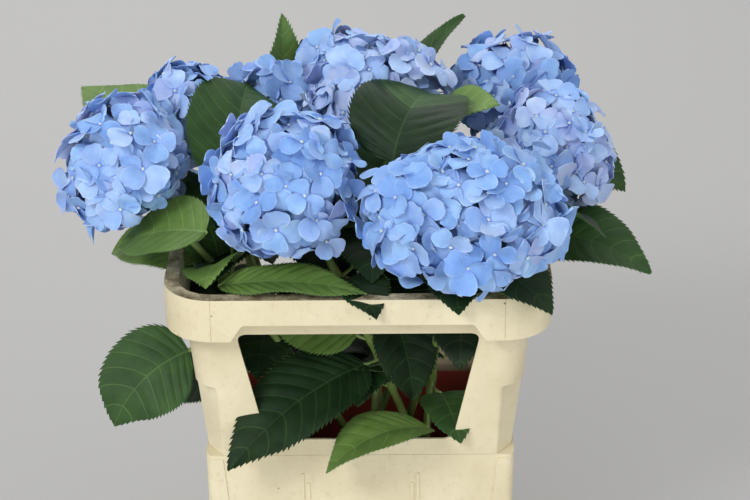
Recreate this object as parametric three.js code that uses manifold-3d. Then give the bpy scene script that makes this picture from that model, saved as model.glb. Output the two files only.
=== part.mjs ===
// Cut mophead hydrangea stems with their leaves, standing in a two-part plastic flower bucket:
// a low bucket with a flared collar on top of it, which has a window in each side.
// Millimetres, +Z up. The origin is the middle of the bucket's underside, +X is to the right
// and -Y is the front.
import * as THREE from 'three';
import { mergeVertices } from 'three/addons/utils/BufferGeometryUtils.js';
import Module from 'manifold-3d';

const wasm = await Module();
wasm.setup();

const GAP = 0.3; // air between neighbouring pieces
const CLEAR = 0.4; // air between a leaf and what it passes

// ---------------------------------------------------------------- sizes of the containers
const BUCKET = { halfX: 160, halfY: 110, height: 270, corner: 10, wall: 2.8, floor: 3.5, draft: 4 };
const LEDGE = { thickness: 6, overhang: 12, corner: 18 };
const RIB = { outer: 60, inner: 54, width: 3, proud: 1.5, outerTop: 248, innerTop: 237, foot: 90 };
const COLLAR = { foot: BUCKET.height + GAP, top: 467, wall: 2.8, shoulder: 184.5 };
const BAND = { halfX: 195, halfY: 145, corner: 50, height: 46, wall: 3, lip: 14 };
const WINDOW = { top: 419, sill: 290, corner: 11 };
const WINDOW_FRONT = { topHalf: 123, sillHalf: 96 };
const WINDOW_SIDE = { topHalf: 78, sillHalf: 58 };
const NOTCH = { top: 439, spread: 8, web: 3 };
const LINER = { halfX: 144, halfY: 94, corner: 16, wall: 2, top: 258 };

// ---------------------------------------------------------------- sizes of the plants
const CANE = { foot: 4.8, neck: 3.4, sides: 6, waistHeight: 400, waistPart: 0.7, end: 0.98 };
const BREAKS = [250, 425]; // the heights at which a cane's lengths meet
const LENGTH_STEPS = [5, 3, 3];
const BREAK_PART = 0.001; // air between a cane's last length and its bloom, as a part of the cane
const BLADE = { rings: [0.02, 0.16, 0.38, 0.62, 0.82, 0.95], half: 1.5, fold: 0.15 };
const OUTLINE = { widest: 0.3846, fullness: 0.8, tipStart: 0.75, tipLoss: 0.35 };
const STALK_RADIUS = 2.2;
const TIP_RADIUS = 0.6;
const FLORET = { radius: 23, uneven: 0.12, notch: 0.66, spacing: 6000, lowest: -0.78 };
const FLORET_DEPTH = { face: 0.97, root: 0.62, dome: 0.12 }; // parts of the bloom's and its own radius
const CORE_PART = 0.86; // of a bloom's radius
const BLOOM_MARGIN = 6; // how far the florets' tips pass the bloom's radius
const GOLDEN_ANGLE = Math.PI * (3 - Math.sqrt(5));

// Leaves inside the collar, by the turn that leaves take round a cane.
const HIDDEN = {
  perStem: 2, lowest: 300, step: 55, stalk: 25, length: 105, longer: 30, rise: 25, droop: 60,
  width: 0.68, stemTurn: 77, leafTurn: 137.5, looseTurn: 40, fromWall: 14,
};

// One row for each stem: where its cane stands on the liner's floor, where it passes the waist
// height, the middle of its bloom, and the bloom's radius along X, Y and Z. Its leaves grow above
// the highest break, its inner leaves in the collar, and its window leaves reach out through a
// window. Each leaf is [height on the cane, compass angle, stalk, length, rise, droop, roll, width
// over length], and where the blade turns away from its stalk, also that turn and the stalk's rise.
const STEMS = [
  {
    foot: [84, 56], waist: [-110, -34], bloom: [-237, -22, 556], radii: [67, 74, 80],
    leaves: [
      [480, -73, 80, 102, 3, 40, -12, 0.95, -124, 30],
      [452, 155, 12, 122, 28, 72, -20, 0.72],
      [440, 118, 15, 100, 58, 35, 0, 0.75],
      [445, -92, 28, 60, 38, 60, 0, 0.68],
      [441, -96, 20, 95, 49, 69, 21, 0.66, 0, 40],
      [430, 72, 102, 167, 55, 65, 25, 0.68, 14, 82],
      [445, -86, 76, 152, 16, 28, 7, 0.36, 74, 15],
    ],
    windowLeaves: [
      [385, -157, 85, 115, -10, 60, -50, 0.8],
      [345, 170, 50, 105, -12, 40, -40, 0.68],
    ],
  },
  {
    foot: [-38, -58], waist: [-112, 40], bloom: [-177, 80, 586], radii: [48, 48, 50],
    leaves: [
      [515, 140, 40, 170, 21, 22, 0, 0.66, 0, 25],
      [480, 175, 28, 110, 10, 50, 0, 0.68],
      [445, -110, 20, 105, 15, 30, 0, 0.78],
      [460, -70, 28, 110, 25, 50, 0, 0.72],
    ],
    innerLeaves: [
      [345, -118, 28, 55, 16, 50, -40, 0.68],
    ],
  },
  {
    foot: [-96, -30], waist: [-62, 78], bloom: [-94, 126, 566], radii: [48, 46, 50],
    leaves: [
      [455, 98, 60, 165, 44, -50, 35, 0.38],
      [470, 95, 28, 120, 5, 60, 0, 0.68],
      [440, -70, 28, 140, 14, 30, 0, 0.74],
    ],
  },
  {
    foot: [120, -20], waist: [0, -50], bloom: [-72, -92, 571], radii: [80, 76, 80],
    leaves: [
      [440, -137, 28, 70, 15, 60, 0, 0.68],
      [450, 25, 28, 110, 35, 70, 0, 0.68],
      [450, -69, 28, 85, 27, 60, 0, 0.68],
      [440, -170, 28, 80, 20, 60, 0, 0.68],
      [465, 120, 28, 120, 30, 60, 0, 0.68],
    ],
    innerLeaves: [
      [370, 165, 15, 100, 14, 20, -40, 0.68],
    ],
    windowLeaves: [
      [345, -142, 20, 190, 0, 40, -15, 0.5],
    ],
  },
  {
    foot: [-14, -52], waist: [22, 16], bloom: [26, 62, 597], radii: [80, 68, 68],
    leaves: [
      [430, -85, 28, 150, 80, 20, 0, 0.7],
      [450, -40, 28, 150, 70, 10, 0, 0.68],
      [515, -28, 40, 140, 72, 66, 13, 0.62, 0, 40],
      [470, -94, 28, 128, 25, 60, 10, 0.68],
      [445, -140, 28, 130, 45, 50, 0, 0.68],
    ],
    innerLeaves: [
      [400, -65, 28, 103, -27, 60, 0, 0.68],
    ],
  },
  {
    foot: [-60, 40], waist: [88, 78], bloom: [169, 152, 574], radii: [68, 62, 60],
    leaves: [
      [472, -9, 28, 164, 46, 98, 30, 0.62, 0, 40],
      [465, 40, 28, 135, 15, 55, 0, 0.68],
      [465, 110, 28, 125, 10, 50, 0, 0.68],
      [440, -150, 28, 120, 40, 60, 0, 0.68],
    ],
  },
  {
    foot: [10, 40], waist: [112, 20], bloom: [196, 20, 550], radii: [70, 68, 76],
    leaves: [
      [440, -22, 30, 165, 30, 66, 8, 0.66],
      [470, -43, 28, 127, 41, 69, -36, 0.68],
      [460, 178, 28, 115, 50, 50, 0, 0.78],
      [450, 60, 28, 120, 25, 70, 0, 0.68],
    ],
  },
  {
    foot: [64, -14], waist: [84, -46], bloom: [104, -140, 556], radii: [106, 78, 79],
    leaves: [
      [472, 165, 124, 142, 71, 120, 4, 0.82, -101, 62],
      [440, -84, 28, 90, 42, 80, 0, 0.68],
      [440, -42, 28, 130, 43, 90, 0, 0.68],
    ],
    windowLeaves: [
      [307, -93, 92, 126, 22, 66, 8, 0.68, -61, -5],
      [300, -76, 40, 83, 13, 50, 0, 0.68],
    ],
  },
  {
    foot: [34, -68], waist: [6, 84], bloom: [-18, 180, 580], radii: [48, 44, 48],
    leaves: [
      [470, 117, 28, 163, 27, -40, 0, 0.68],
      [500, 11, 28, 171, 64, 22, 5, 0.4, 0, 43],
      [500, 95, 31, 124, 59, 39, 6, 0.62],
      [480, 95, 28, 120, -5, 60, 0, 0.68],
    ],
  },
  {
    foot: [-44, 78], waist: [-112, 80], bloom: [-170, 176, 524], radii: [54, 52, 54],
    leaves: [
      [440, 80, 28, 130, 25, 65, 0, 0.68],
      [450, 175, 28, 120, 25, 65, 0, 0.68],
    ],
  },
];

// ---------------------------------------------------------------- solids
function solid(geometry) {
  const plain = geometry.clone();
  plain.deleteAttribute('normal');
  plain.deleteAttribute('uv');
  const merged = mergeVertices(plain, 1e-4);
  const shape = {
    numProp: 3,
    vertProperties: merged.attributes.position.array,
    triVerts: new Uint32Array(merged.index.array),
  };
  return new wasm.Manifold(new wasm.Mesh(shape));
}

function geometryOf(body) {
  const mesh = body.getMesh();
  const geometry = new THREE.BufferGeometry();
  geometry.setAttribute('position', new THREE.BufferAttribute(mesh.vertProperties, 3));
  geometry.setIndex(new THREE.BufferAttribute(mesh.triVerts, 1));
  geometry.computeVertexNormals();
  return geometry;
}

const union = (bodies) => bodies.reduce((sum, body) => sum.add(body));
const without = (body, cutters) => cutters.reduce((rest, cutter) => rest.subtract(cutter), body);

// The largest connected piece of a body: loose scraps and sealed voids go.
function largest(body) {
  const pieces = body.decompose();
  return pieces.reduce((best, piece) => (piece.volume() > best.volume() ? piece : best));
}

// The body made fatter by a clearance: six copies of it, shifted both ways along each axis.
function fattened(body, by) {
  const shifts = [[by, 0, 0], [-by, 0, 0], [0, by, 0], [0, -by, 0], [0, 0, by], [0, 0, -by]];
  return union(shifts.map((shift) => body.translate(shift)));
}

// A closed skin over rings of points, each ring counter-clockwise as seen from the next one.
function loft(rings) {
  const count = rings[0].length;
  const index = [];
  rings.slice(1).forEach((ring, row) => {
    ring.forEach((point, k) => {
      const next = (k + 1) % count;
      const [a, b] = [row * count + k, row * count + next];
      index.push(a, b, b + count, a, b + count, a + count);
    });
  });
  const last = (rings.length - 1) * count;
  for (let k = 1; k < count - 1; k += 1) {
    index.push(0, k + 1, k, last, last + k, last + k + 1);
  }
  const geometry = new THREE.BufferGeometry().setFromPoints(rings.flat());
  geometry.setIndex(index);
  return solid(geometry);
}

// ---------------------------------------------------------------- container shapes
const CORNER_STEPS = 4;

function roundedRing(halfX, halfY, corner, z) {
  const points = [];
  const quarter = Math.PI / 2;
  const centres = [[1, -1, -1], [1, 1, 0], [-1, 1, 1], [-1, -1, 2]];
  centres.forEach(([signX, signY, turn]) => {
    for (let k = 0; k <= CORNER_STEPS; k += 1) {
      const angle = quarter * (turn + k / CORNER_STEPS);
      const x = signX * (halfX - corner) + corner * Math.cos(angle);
      const y = signY * (halfY - corner) + corner * Math.sin(angle);
      points.push(new THREE.Vector3(x, y, z));
    }
  });
  return points;
}

// A tub shape whose levels are [half width, half depth, corner radius, height].
const tub = (levels) => loft(levels.map((level) => roundedRing(...level)));

function box(x0, x1, y0, y1, z0, z1) {
  const geometry = new THREE.BoxGeometry(x1 - x0, y1 - y0, z1 - z0);
  geometry.translate((x0 + x1) / 2, (y0 + y1) / 2, (z0 + z1) / 2);
  return solid(geometry);
}

// A prism right through the collar along Y, or along X where turned, with rounded corners.
function opening(bottomHalf, bottom, topHalf, top, corner, turned) {
  const outline = [[-bottomHalf, bottom], [bottomHalf, bottom], [topHalf, top], [-topHalf, top]];
  const corners = outline.map(([x, z]) => new THREE.Vector2(x, z));
  const shape = new THREE.Shape();
  corners.forEach((point, k) => {
    const before = corners[(k + 3) % 4].clone().sub(point).normalize();
    const after = corners[(k + 1) % 4].clone().sub(point).normalize();
    const start = point.clone().addScaledVector(before, corner);
    const end = point.clone().addScaledVector(after, corner);
    if (k === 0) {
      shape.moveTo(start.x, start.y);
    } else {
      shape.lineTo(start.x, start.y);
    }
    shape.quadraticCurveTo(point.x, point.y, end.x, end.y);
  });
  const depth = 4 * BAND.halfX;
  const geometry = new THREE.ExtrudeGeometry(shape, { depth, bevelEnabled: false, curveSegments: 4 });
  geometry.translate(0, 0, -depth / 2);
  geometry.rotateX(Math.PI / 2);
  if (turned) {
    geometry.rotateZ(Math.PI / 2);
  }
  return solid(geometry);
}

function makeBucket() {
  const { halfX, halfY, height, corner, wall, floor, draft } = BUCKET;
  const outer = tub([
    [halfX - draft, halfY - draft, corner, 0],
    [halfX, halfY, corner, height],
  ]);
  const inside = tub([
    [halfX - draft - wall, halfY - draft - wall, corner, floor],
    [halfX - wall, halfY - wall, corner, height - LEDGE.thickness],
  ]);
  const mouth = tub([
    [halfX - LEDGE.overhang, halfY - LEDGE.overhang, LEDGE.corner, height - 2 * LEDGE.thickness],
    [halfX - LEDGE.overhang, halfY - LEDGE.overhang, LEDGE.corner, height + 1],
  ]);
  // The ribs lean with the wall: what they lend it is cut from a tub that is as much larger.
  const ribTub = tub([
    [halfX, halfY - draft + RIB.proud, corner, 0],
    [halfX, halfY + RIB.proud, corner, height],
  ]);
  const ribs = [];
  [[RIB.outer, RIB.outerTop], [RIB.inner, RIB.innerTop]].forEach(([x, top]) => {
    [-1, 1].forEach((side) => {
      const left = side * x - RIB.width / 2;
      ribs.push(box(left, left + RIB.width, -2 * halfY, 2 * halfY, RIB.foot, top));
    });
  });
  return without(union([outer, union(ribs).intersect(ribTub)]), [inside, mouth]);
}

function makeCollar() {
  const { foot, top, wall } = COLLAR;
  const skirt = top - BAND.height;
  const flange = top - BAND.wall;
  const step = BAND.halfX - BAND.halfY; // every level is as much wider than it is deep
  const level = (half, corner, z) => [half, half - step, corner, z];
  const band = tub([level(BAND.halfX, BAND.corner, skirt), level(BAND.halfX, BAND.corner, top)]);
  const shell = tub([
    level(160, 20, foot),
    level(175, 34, skirt),
    level(177, 36, NOTCH.top),
    level(COLLAR.shoulder, 41, flange),
  ]);
  const inside = tub([
    level(160 - wall, 17, foot - 1),
    level(175 - wall, 31, skirt),
    level(177 - wall, 33, NOTCH.top),
    level(BAND.halfX - BAND.lip, 37, top + 1),
  ]);
  const under = tub([
    level(BAND.halfX - BAND.wall, BAND.corner - BAND.wall, skirt - 1),
    level(BAND.halfX - BAND.wall, BAND.corner - BAND.wall, flange),
  ]);
  const windows = [WINDOW_FRONT, WINDOW_SIDE].map((window, turned) => (
    opening(window.sillHalf, WINDOW.sill, window.topHalf, WINDOW.top, WINDOW.corner, turned)
  ));
  const notch = (grown) => union([WINDOW_FRONT, WINDOW_SIDE].map((window, turned) => {
    const low = window.topHalf + NOTCH.spread + grown;
    const high = window.topHalf - NOTCH.spread + grown;
    return opening(low, skirt - 2 * NOTCH.web, high, NOTCH.top + grown, 3, turned);
  }));
  const hollow = without(under, [shell, notch(NOTCH.web)]);
  const cuts = without(notch(0), [shell]);
  const body = union([band, shell]);
  return largest(without(body, [inside, hollow, cuts, ...windows]));
}

function makeLiner() {
  const { halfX, halfY, corner, wall, top } = LINER;
  const base = BUCKET.floor + GAP;
  const outer = tub([[halfX, halfY, corner, base], [halfX, halfY, corner, top]]);
  const inner = [halfX - wall, halfY - wall, corner - wall];
  return outer.subtract(tub([[...inner, base + wall], [...inner, top + 1]]));
}

// ---------------------------------------------------------------- plant shapes
const vector = (x, y, z) => new THREE.Vector3(x, y, z);
const floorHeight = BUCKET.floor + LINER.wall + 2 * GAP;

// A cane's axis is the curve of second degree through its foot, its waist and its bloom.
function caneAxis(stem, part) {
  const { waistPart: middle, waistHeight } = CANE;
  const atFoot = ((part - middle) * (part - 1)) / middle;
  const atWaist = (part * (part - 1)) / (middle * (middle - 1));
  const atBloom = (part * (part - middle)) / (1 - middle);
  return vector(...stem.foot, floorHeight).multiplyScalar(atFoot)
    .addScaledVector(vector(...stem.waist, waistHeight), atWaist)
    .addScaledVector(vector(...stem.bloom), atBloom);
}

// The part of the axis where a test that holds below it stops holding.
function lastPart(test) {
  let [low, high] = [0, 1];
  for (let k = 0; k < 30; k += 1) {
    const middle = (low + high) / 2;
    [low, high] = test(middle) ? [middle, high] : [low, middle];
  }
  return low;
}

const partAtHeight = (stem, height) => lastPart((part) => caneAxis(stem, part).z < height);

function outsideBloom(stem, point, reach) {
  const [x, y, z] = stem.bloom.map((middle, k) => {
    return (point.getComponent(k) - middle) / (stem.radii[k] + reach);
  });
  return x * x + y * y + z * z > 1;
}

// A tapering tube with flat ends along a curve, from one part of it to another.
function limb(axis, from, to, radiusAt, steps) {
  const rings = [];
  for (let row = 0; row <= steps; row += 1) {
    const part = from + ((to - from) * row) / steps;
    const middle = axis(part);
    const along = axis(part + 0.001).sub(axis(part - 0.001)).normalize();
    const across = vector(0, 1, 0).cross(along).normalize();
    const third = along.clone().cross(across);
    const ring = [];
    for (let k = 0; k < CANE.sides; k += 1) {
      const angle = (2 * Math.PI * k) / CANE.sides;
      const point = middle.clone()
        .addScaledVector(across, radiusAt(part) * Math.cos(angle))
        .addScaledVector(third, radiusAt(part) * Math.sin(angle));
      ring.push(point);
    }
    rings.push(ring);
  }
  rings[0].forEach((point) => {
    point.z = from === 0 ? floorHeight : point.z;
  });
  return loft(rings);
}

const caneRadius = (part) => CANE.foot + (CANE.neck - CANE.foot) * part;

// A cane's lengths, from break to break and the last to its bloom: each a limb, and its room.
function caneLengths(stem) {
  const axis = (part) => caneAxis(stem, part);
  const starts = [0, ...BREAKS.map((height) => partAtHeight(stem, height))];
  const ends = [...BREAKS.map((height) => partAtHeight(stem, height - GAP)), bloomEdge(stem)];
  return starts.map((start, k) => ({
    body: limb(axis, start, ends[k], caneRadius, LENGTH_STEPS[k]),
    room: limb(axis, start, ends[k], (part) => caneRadius(part) + CLEAR, LENGTH_STEPS[k]),
  }));
}

// Half of a leaf's width at a part of its length, as a part of the widest.
function bladeOutline(part) {
  const shape = (u) => Math.sqrt(u) * (1 - u) ** OUTLINE.fullness;
  const pastStart = Math.max(0, (part - OUTLINE.tipStart) / (1 - OUTLINE.tipStart));
  return (shape(part) / shape(OUTLINE.widest)) * (1 - OUTLINE.tipLoss * pastStart);
}

// A leaf's stalk rises straight from the cane, and its blade bends on from there as an arc.
function leafFrame(stem, [height, compass, stalk, length, rise, droop, roll, , swing = 0, lift = rise]) {
  const root = caneAxis(stem, partAtHeight(stem, height));
  const angles = [compass, compass + swing, lift, rise, droop, roll];
  const [leaving, turn, lean, start, bend, tilt] = angles.map(THREE.MathUtils.degToRad);
  const out = vector(Math.cos(turn), Math.sin(turn), 0);
  const up = vector(0, 0, 1);
  const side = vector(-Math.sin(turn), Math.cos(turn), 0);
  const base = root.clone()
    .addScaledVector(vector(Math.cos(leaving), Math.sin(leaving), 0), stalk * Math.cos(lean))
    .addScaledVector(up, stalk * Math.sin(lean));
  const radius = length / bend;
  return (part) => {
    const angle = start - bend * part;
    const middle = base.clone()
      .addScaledVector(out, radius * (Math.sin(start) - Math.sin(angle)))
      .addScaledVector(up, radius * (Math.cos(angle) - Math.cos(start)));
    const flat = out.clone().multiplyScalar(-Math.sin(angle)).addScaledVector(up, Math.cos(angle));
    const across = side.clone().multiplyScalar(Math.cos(tilt)).addScaledVector(flat, Math.sin(tilt));
    const normal = flat.clone().multiplyScalar(Math.cos(tilt)).addScaledVector(side, -Math.sin(tilt));
    return { root, middle, across, normal };
  };
}

function makeLeaf(stem, leaf, fatter = 0) {
  const [, , , length, , , , width] = leaf;
  const stalkRadius = STALK_RADIUS + fatter;
  const frame = leafFrame(stem, leaf);
  const ring = (middle, { across, normal }, half, thick, fold) => [
    middle.clone().addScaledVector(across, -half).addScaledVector(normal, fold),
    middle.clone().addScaledVector(normal, -thick),
    middle.clone().addScaledVector(across, half).addScaledVector(normal, fold),
    middle.clone().addScaledVector(normal, thick),
  ];
  const start = frame(0);
  const rings = [
    ring(start.root, start, stalkRadius, stalkRadius, 0),
    ring(start.middle, start, stalkRadius, stalkRadius, 0),
  ];
  BLADE.rings.forEach((part) => {
    const here = frame(part);
    const half = Math.max((width * length * bladeOutline(part)) / 2 + 2 * fatter, stalkRadius);
    rings.push(ring(here.middle, here, half, BLADE.half + fatter, half * BLADE.fold));
  });
  const tip = frame(1);
  rings.push(ring(tip.middle, tip, TIP_RADIUS + fatter, TIP_RADIUS + fatter, 0));
  return loft(rings);
}

// The same row of numbers between 0 and 1 for the same seed.
function randomRow(seed) {
  let state = seed;
  return () => {
    state = (Math.imul(state, 1664525) + 1013904223) >>> 0;
    return state / 4294967296;
  };
}

// More leaves inside the collar, spaced evenly round and up the cane.
function hiddenLeaves(stem, number) {
  const random = randomRow(101 + number);
  const { stalk, rise, droop, width } = HIDDEN;
  const rows = [];
  for (let k = 0; k < HIDDEN.perStem; k += 1) {
    const height = HIDDEN.lowest + HIDDEN.step * (k + random());
    const evenTurn = HIDDEN.stemTurn * number + HIDDEN.leafTurn * k;
    const compass = evenTurn + HIDDEN.looseTurn * random();
    const length = HIDDEN.length + HIDDEN.longer * random();
    rows.push([height, compass, stalk, length, rise, droop, 0, width]);
  }
  return rows.filter((row) => staysInside(stem, row));
}

// The collar is a tenth wider for each unit of height, and less deep than wide by its step.
function staysInside(stem, leaf) {
  const frame = leafFrame(stem, leaf);
  const [, , , length, , , , width] = leaf;
  const step = BAND.halfX - BAND.halfY;
  return [0.2, 0.4, 0.6, 0.8, 1].every((part) => {
    const { middle, across } = frame(part);
    const half = (width * length * bladeOutline(part)) / 2;
    return [-half, half].every((offset) => {
      const edge = middle.clone().addScaledVector(across, offset);
      const above = edge.z - BUCKET.height;
      const reach = BUCKET.halfX + above / 10 - HIDDEN.fromWall;
      return Math.abs(edge.x) < reach && Math.abs(edge.y) < reach - step && above > 0;
    });
  });
}

// A bloom: a fused core, its own end of the cane, and florets that stand out of the core.
function makeBloom(stem, number) {
  const middle = vector(...stem.bloom);
  const radii = vector(...stem.radii);
  const core = new THREE.IcosahedronGeometry(CORE_PART, 1);
  core.scale(...stem.radii);
  core.translate(...stem.bloom);
  const axis = (part) => caneAxis(stem, part);
  const parts = [solid(core), limb(axis, bloomEdge(stem) + BREAK_PART, CANE.end, caneRadius, 1)];
  const meanRadius = Math.cbrt(radii.x * radii.y * radii.z);
  const count = Math.round((4 * Math.PI * meanRadius ** 2) / FLORET.spacing);
  const random = randomRow(7 + number);
  for (let k = 0; k < count; k += 1) {
    const height = 1 - ((k + 0.5) / count) * (1 - FLORET.lowest);
    const flat = Math.sqrt(1 - height * height);
    const turn = GOLDEN_ANGLE * k;
    const out = vector(flat * Math.cos(turn), flat * Math.sin(turn), height);
    parts.push(makeFloret(middle, radii, out, random));
  }
  return largest(union(parts));
}

function makeFloret(middle, radii, out, random) {
  const at = (depth) => middle.clone().add(out.clone().multiply(radii).multiplyScalar(depth));
  const face = at(FLORET_DEPTH.face);
  const normal = out.clone().divide(radii).normalize();
  const across = vector(0.3, 0.5, 0.8).cross(normal).normalize();
  const third = normal.clone().cross(across);
  const spin = random() * Math.PI;
  const size = FLORET.radius * (1 + FLORET.uneven * (2 * random() - 1));
  const hollow = face.clone().addScaledVector(normal, -FLORET_DEPTH.dome * size);
  const points = [hollow, at(FLORET_DEPTH.root)];
  for (let k = 0; k < 8; k += 1) {
    const angle = spin + (Math.PI * k) / 4;
    const reach = k % 2 ? size * FLORET.notch : size;
    const point = face.clone()
      .addScaledVector(across, reach * Math.cos(angle))
      .addScaledVector(third, reach * Math.sin(angle));
    points.push(point);
  }
  const index = [];
  for (let k = 0; k < 8; k += 1) {
    const [a, b] = [2 + k, 2 + ((k + 1) % 8)];
    index.push(0, a, b, 1, b, a);
  }
  const geometry = new THREE.BufferGeometry().setFromPoints(points);
  geometry.setIndex(index);
  return solid(geometry);
}

// A rounded body about a bloom's middle: a part of its radius, and a margin.
function ball(stem, part, margin) {
  const geometry = new THREE.IcosahedronGeometry(1, 2);
  geometry.scale(...stem.radii.map((radius) => part * radius + margin));
  geometry.translate(...stem.bloom);
  return solid(geometry);
}

const bloomEdge = (stem) => lastPart((part) => outsideBloom(stem, caneAxis(stem, part), BLOOM_MARGIN));

// ---------------------------------------------------------------- assembly
const assembly = new THREE.Group();
const CREAM = { color: 0xe1d7b4, roughness: 0.55, metalness: 0 };

function addMesh(name, body, look) {
  const material = new THREE.MeshStandardMaterial({ ...look, flatShading: true });
  const mesh = new THREE.Mesh(geometryOf(body), material);
  mesh.name = name;
  assembly.add(mesh);
}

const containers = { bucket: makeBucket(), collar: makeCollar(), liner: makeLiner() };
addMesh('bucket', containers.bucket, CREAM);
addMesh('collar', containers.collar, CREAM);
addMesh('liner', containers.liner, { color: 0x7a2b22, roughness: 0.7, metalness: 0 });

const canes = STEMS.map(caneLengths);
const caneRooms = canes.flat().map(({ room }) => room);
canes.forEach(([lowest], k) => {
  addMesh(`stem_${k + 1}`, lowest.body, { color: 0x7f9a52, roughness: 0.6, metalness: 0 });
});

// Each mass of leaves gives way to the containers, the other canes, the blooms' cores and the
// masses before it. A shoot is a cane's last length, and an inner shoot the one below, with the
// leaves that grow on it. A window leaf stands clear of its cane.
const coreRooms = STEMS.map((stem) => ball(stem, CORE_PART, 2));
const leafRooms = [];
let room = union([...Object.values(containers).map((body) => fattened(body, CLEAR)), ...coreRooms]);

function addLeaves(name, stem, rows, length) {
  const otherRooms = caneRooms.filter((other) => other !== length?.room);
  const blades = rows.map((row) => without(makeLeaf(stem, row), [room, ...otherRooms]));
  const mass = largest(union([...(length ? [length.body] : []), ...blades]));
  addMesh(name, mass, { color: 0x3f6b35, roughness: 0.5, metalness: 0 });
  const grown = rows.map((row) => makeLeaf(stem, row, CLEAR));
  leafRooms.push(...grown);
  room = union([room, ...grown]);
}

let windowLeafCount = 0;
STEMS.forEach((stem, k) => {
  const [, inner, last] = canes[k];
  addLeaves(`shoot_${k + 1}`, stem, stem.leaves, last);
  (stem.windowLeaves ?? []).forEach((row) => {
    windowLeafCount += 1;
    addLeaves(`window_leaf_${windowLeafCount}`, stem, [row]);
  });
  addLeaves(`inner_shoot_${k + 1}`, stem, [...(stem.innerLeaves ?? []), ...hiddenLeaves(stem, k)], inner);
});

// Each bloom's florets give way to the leaves, the canes and the blooms before it.
STEMS.forEach((stem, k) => {
  const before = STEMS.slice(0, k).map((other) => ball(other, 1, BLOOM_MARGIN));
  const bloom = largest(without(makeBloom(stem, k), [...leafRooms, ...caneRooms, ...before]));
  addMesh(`bloom_${k + 1}`, bloom, { color: 0x9fb9ee, roughness: 0.6, metalness: 0 });
});

export default assembly;
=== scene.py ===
"""The looks of cut hydrangea stems in a two-part flower bucket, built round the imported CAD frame.

Sizes are in millimetres, as in the CAD source, and become metres where a mesh is made. Each mass
of leaves and each bloom grows by the rule of the CAD source, carried finer.
"""
from math import cos, pi, radians, sin, sqrt

import bmesh
import bpy
import numpy as np
from mathutils import Matrix
from mathutils.bvhtree import BVHTree


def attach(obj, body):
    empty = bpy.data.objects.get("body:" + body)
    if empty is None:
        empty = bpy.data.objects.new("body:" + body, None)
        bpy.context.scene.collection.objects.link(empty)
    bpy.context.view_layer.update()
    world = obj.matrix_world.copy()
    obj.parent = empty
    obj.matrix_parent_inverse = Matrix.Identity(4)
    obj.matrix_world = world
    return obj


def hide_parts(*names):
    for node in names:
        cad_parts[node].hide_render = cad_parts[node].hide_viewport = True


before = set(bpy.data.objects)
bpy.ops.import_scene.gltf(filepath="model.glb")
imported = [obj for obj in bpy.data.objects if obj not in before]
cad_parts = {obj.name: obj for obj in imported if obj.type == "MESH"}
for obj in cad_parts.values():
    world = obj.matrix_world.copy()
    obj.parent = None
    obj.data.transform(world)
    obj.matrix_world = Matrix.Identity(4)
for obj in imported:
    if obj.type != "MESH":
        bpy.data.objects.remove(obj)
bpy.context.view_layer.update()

MM = 0.001
BODY = "root"

# ---- camera and studio, in metres, degrees and linear colours
CAMERA_PLACE = (0.03035, -2.15804, 1.47744)
CAMERA_PITCH = 25.4  # down
CAMERA_TURN = 0.36  # to the left
CAMERA_ROLL = 0.54  # about the line of sight
SENSOR = 36.0  # width in millimetres
LENS = 109.73  # focal length in millimetres
STAGE = {"reach": 14.0, "paint": (0.425, 0.420, 0.412, 1)}
WORLD = {"colour": (0.98, 0.985, 1.0, 1), "strength": 0.55}

# ---- containers, as in the CAD source
BUCKET = {"half_x": 160, "half_y": 110, "height": 270, "corner": 10, "wall": 2.8, "floor": 3.5, "draft": 4}
LEDGE = {"thickness": 6, "overhang": 12, "corner": 18}
RIB = {"outer": 60, "inner": 54, "width": 3, "proud": 1.5, "outer_top": 248, "inner_top": 237, "foot": 90}
# The bucket's raised corners, which only the scene has. Their edge leans out towards the top.
PILASTER = {"foot": 2, "top": 266, "top_edge": 142, "slant": 0.084}
COLLAR = {"foot": 270.3, "top": 467, "wall": 2.8, "foot_half": 160, "skirt_half": 175, "neck_half": 177}
COLLAR_CORNER = {"foot": 20, "skirt": 34, "neck": 36, "flange": 41, "mouth": 37}
FLANGE_HALF = 184.5
BAND = {"half_x": 195, "half_y": 145, "corner": 50, "height": 46, "wall": 3, "lip": 14}
WINDOW = {"top": 419, "sill": 290, "corner": 11}
WINDOW_FRONT = {"top_half": 123, "sill_half": 96}
WINDOW_SIDE = {"top_half": 78, "sill_half": 58}
NOTCH = {"top": 439, "spread": 8, "web": 3, "corner": 3}
LINER = {"half_x": 144, "half_y": 94, "corner": 16, "wall": 2, "top": 258, "gap": 0.3}
CORNER_STEPS = 12
OVERCUT = 1  # how far a cutter passes the face that it cuts through
# Below the step the collar's corners are cut flat, at this reach along their diagonal.
CORNER_CUT = {"step": 353, "across": 0.795, "deep": 0.606, "foot_reach": 178.5, "step_reach": 187.0}
CORNER_CUT_RISE = 1.5  # the step's own height
# A container's edges: metres and degrees within which points and faces merge, and the rounding.
ROUNDING = {"merge": 0.00002, "flat": 0.4, "sharp": 35, "segments": 3}

# ---- plants, as in the CAD source
FLOOR = 6.1
CANE = {"foot": 4.8, "neck": 3.4, "waist_height": 400, "waist_part": 0.7}
STALK_RADIUS = 2.2
FOLD = 0.15
# Leaves inside the collar: two numbers are drawn for their compass angle and their length.
HIDDEN = {"per_stem": 2, "lowest": 300, "step": 55, "stalk": 25, "length": 105, "rise": 25, "droop": 60}
HIDDEN_TURN = {"stem": 77, "leaf": 137.5, "random": 40}
HIDDEN_LONGER = 30
USUAL_WIDTH = 0.68
INSIDE = {"flare": 0.1, "clear": 14}  # how the collar widens, and what leaves keep from it
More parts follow.
